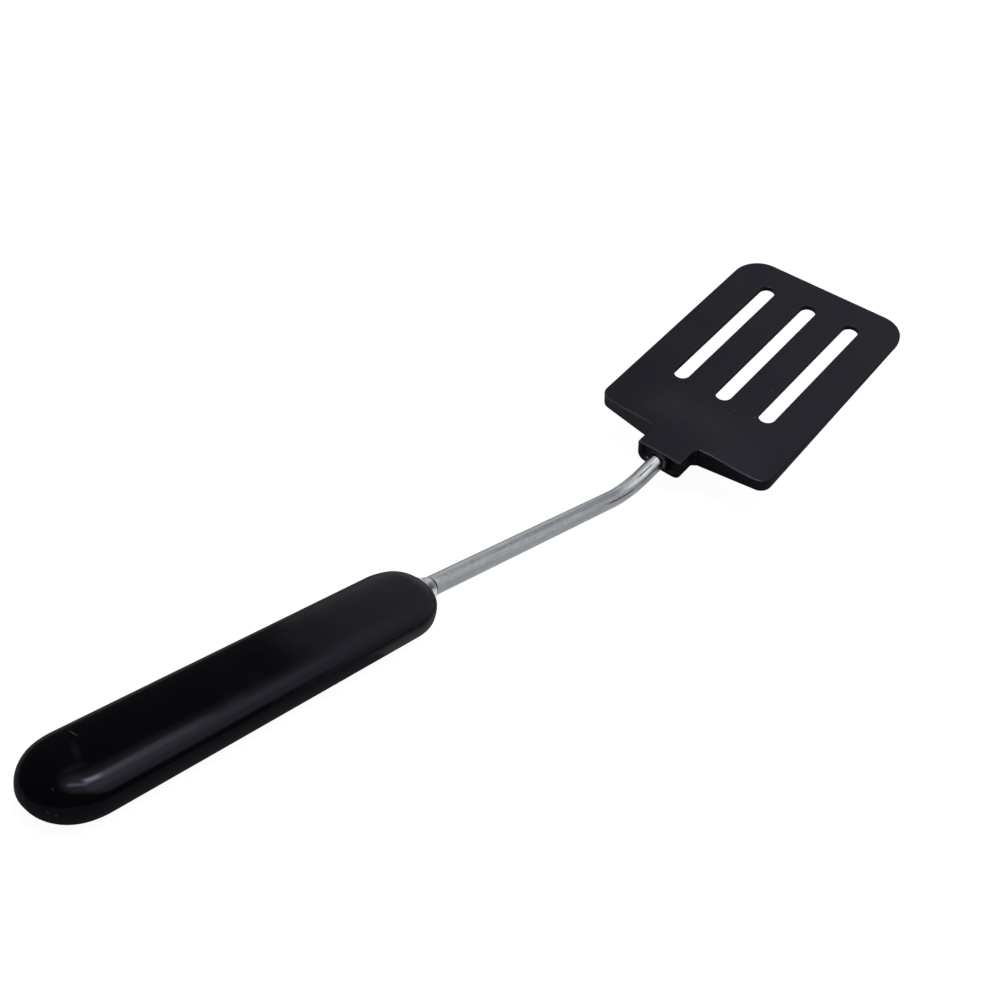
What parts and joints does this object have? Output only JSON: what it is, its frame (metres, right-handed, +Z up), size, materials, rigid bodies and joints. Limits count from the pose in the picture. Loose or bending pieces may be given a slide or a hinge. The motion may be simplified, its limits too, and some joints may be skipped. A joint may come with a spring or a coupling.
{
  "type": "slotted spatula",
  "caption": "Kitchen turner with a flat black slotted blade, a bent chrome-plated rod shaft, a small flared ferrule and a long rounded black handle.",
  "frame": {"origin": "middle of the bottom of the box round the spatula as it lies on a table, on its handle and on the bend of its shaft", "axes": "+X from the handle towards the blade's front edge, +Y to the left of someone who holds the handle, +Z up from the table"},
  "size_m": [0.3236, 0.066, 0.0512],
  "materials": {
    "blade_nylon": "moulded black nylon, satin",
    "handle_plastic": "moulded black plastic, glossy",
    "plated_steel": "chrome plate on a steel rod, lightly scuffed"
  },
  "bodies": {
    "root": {"blade": "blade_nylon", "shaft": "plated_steel", "ferrule": "plated_steel", "handle": "handle_plastic"}
  },
  "joints": []
}
